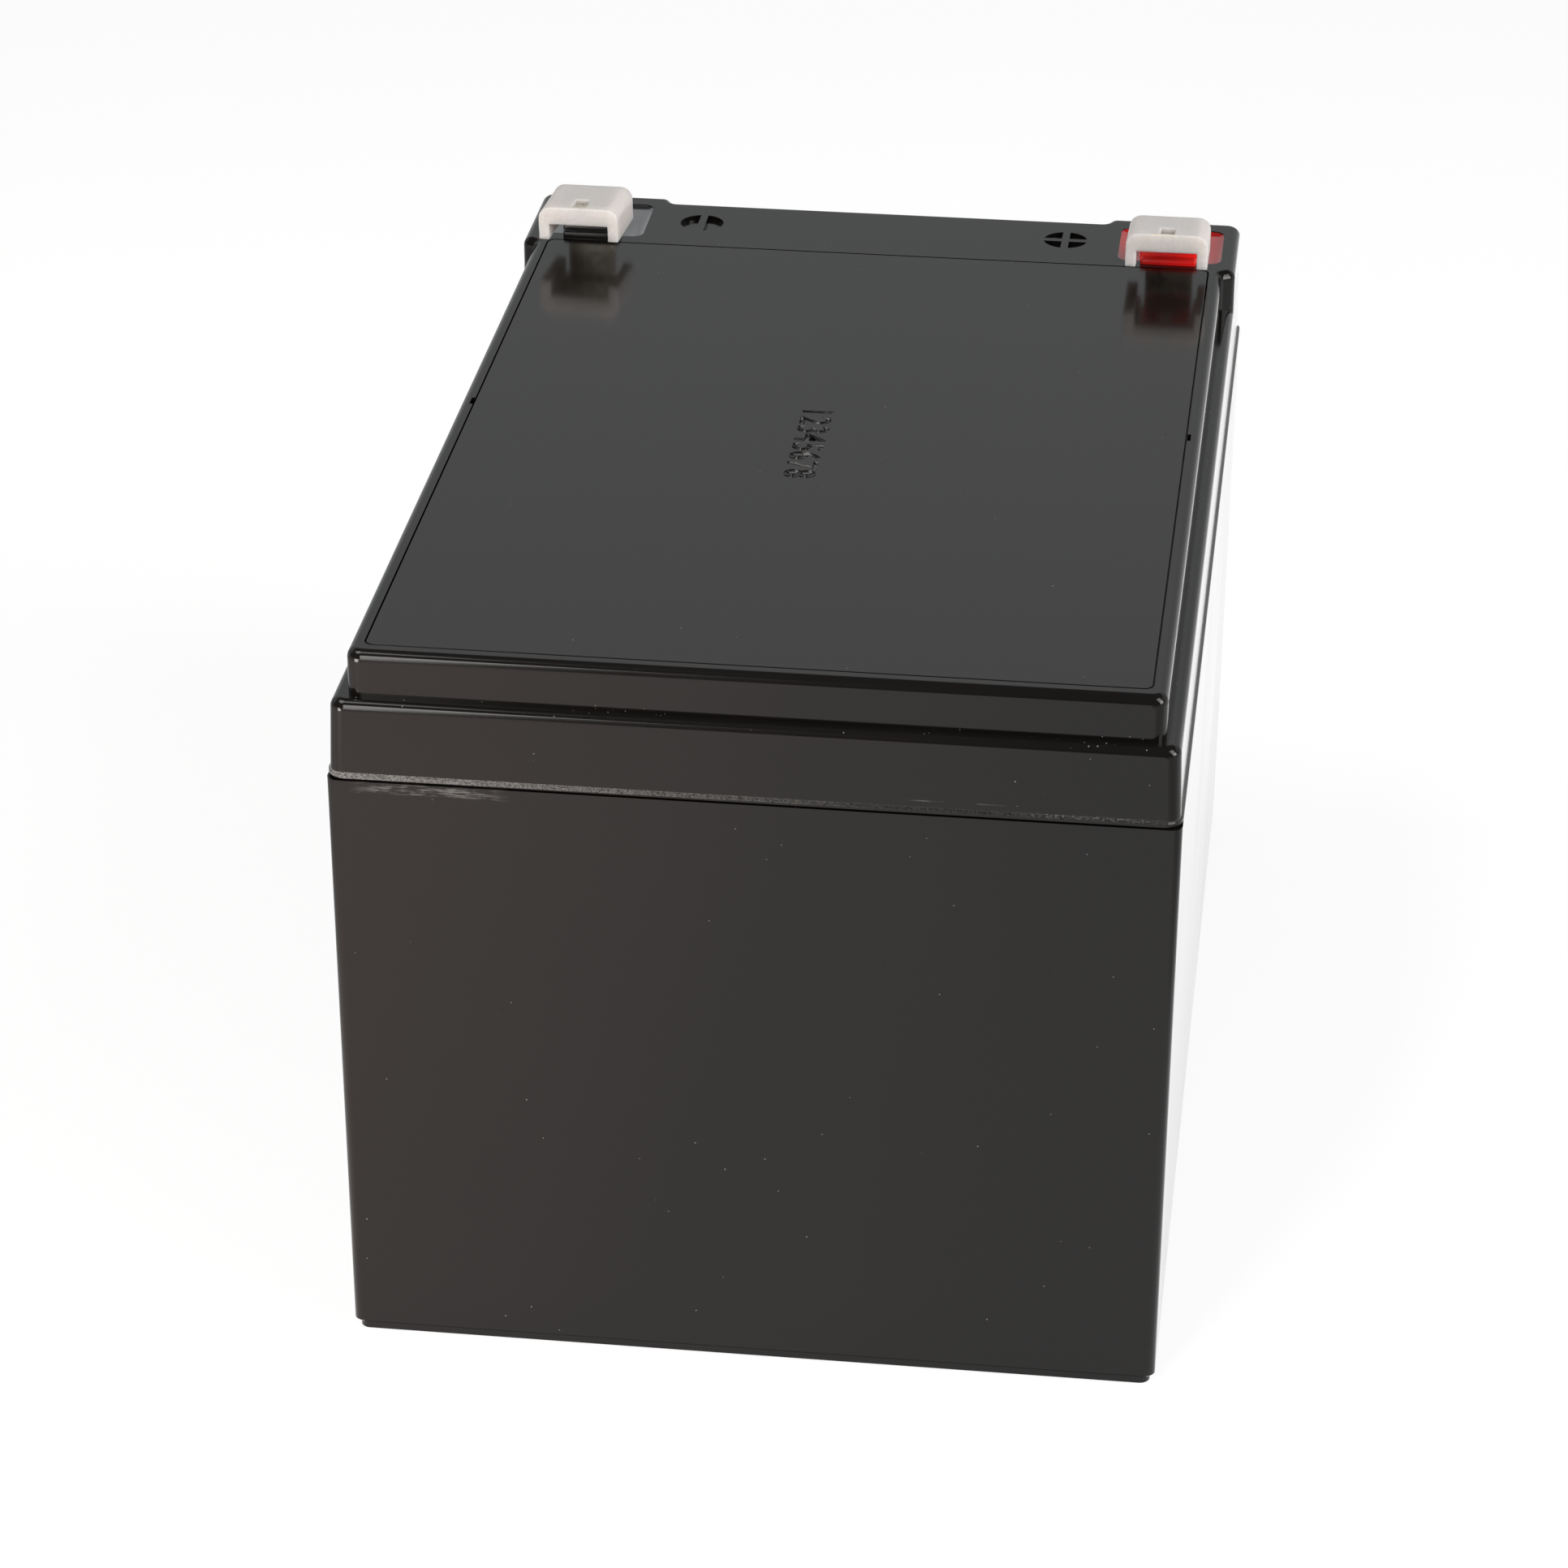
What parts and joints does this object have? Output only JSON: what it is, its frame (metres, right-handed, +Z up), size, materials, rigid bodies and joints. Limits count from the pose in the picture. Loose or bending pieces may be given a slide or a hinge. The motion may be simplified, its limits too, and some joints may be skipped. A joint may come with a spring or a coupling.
{
  "type": "sealed lead acid battery",
  "caption": "Rectangular sealed battery with a stepped glued lid, flush vent cover plate and two capped blade terminals at one end.",
  "frame": {"origin": "middle of the base, on the surface that the battery stands on", "axes": "+Z up, +Y along the length towards the end with the terminals, +X across the width towards the positive terminal"},
  "size_m": [0.098, 0.151, 0.0985],
  "materials": {
    "black_case": "satin gloss",
    "tinned_brass": "tin plated",
    "clear_cap": "milky, light passes",
    "lead": "dull cast",
    "black_epoxy": "gloss",
    "red_epoxy": "gloss",
    "valve_rubber": "matt",
    "positive_paste": "rough",
    "negative_paste": "rough",
    "glass_mat": "soft mat"
  },
  "bodies": {
    "root": {"cell_link_1_2": "lead", "cell_link_2_3": "lead", "cell_link_3_4": "lead", "cell_link_4_5": "lead", "cell_link_5_6": "lead", "end_strap_negative": "lead", "end_strap_positive": "lead", "epoxy_seal_negative": "black_epoxy", "epoxy_seal_positive": "red_epoxy", "jar": "black_case", "lid": "black_case", "negative_plates_1": "negative_paste", "negative_plates_2": "negative_paste", "negative_plates_3": "negative_paste", "negative_plates_4": "negative_paste", "negative_plates_5": "negative_paste", "negative_plates_6": "negative_paste", "positive_plates_1": "positive_paste", "positive_plates_2": "positive_paste", "positive_plates_3": "positive_paste", "positive_plates_4": "positive_paste", "positive_plates_5": "positive_paste", "positive_plates_6": "positive_paste", "separators_1": "glass_mat", "separators_2": "glass_mat", "separators_3": "glass_mat", "separators_4": "glass_mat", "separators_5": "glass_mat", "separators_6": "glass_mat", "terminal_cap_negative": "clear_cap", "terminal_cap_positive": "clear_cap", "terminal_negative": "tinned_brass", "terminal_positive": "tinned_brass", "valve_caps": "valve_rubber", "vent_cover_plate": "black_case"}
  },
  "joints": []
}
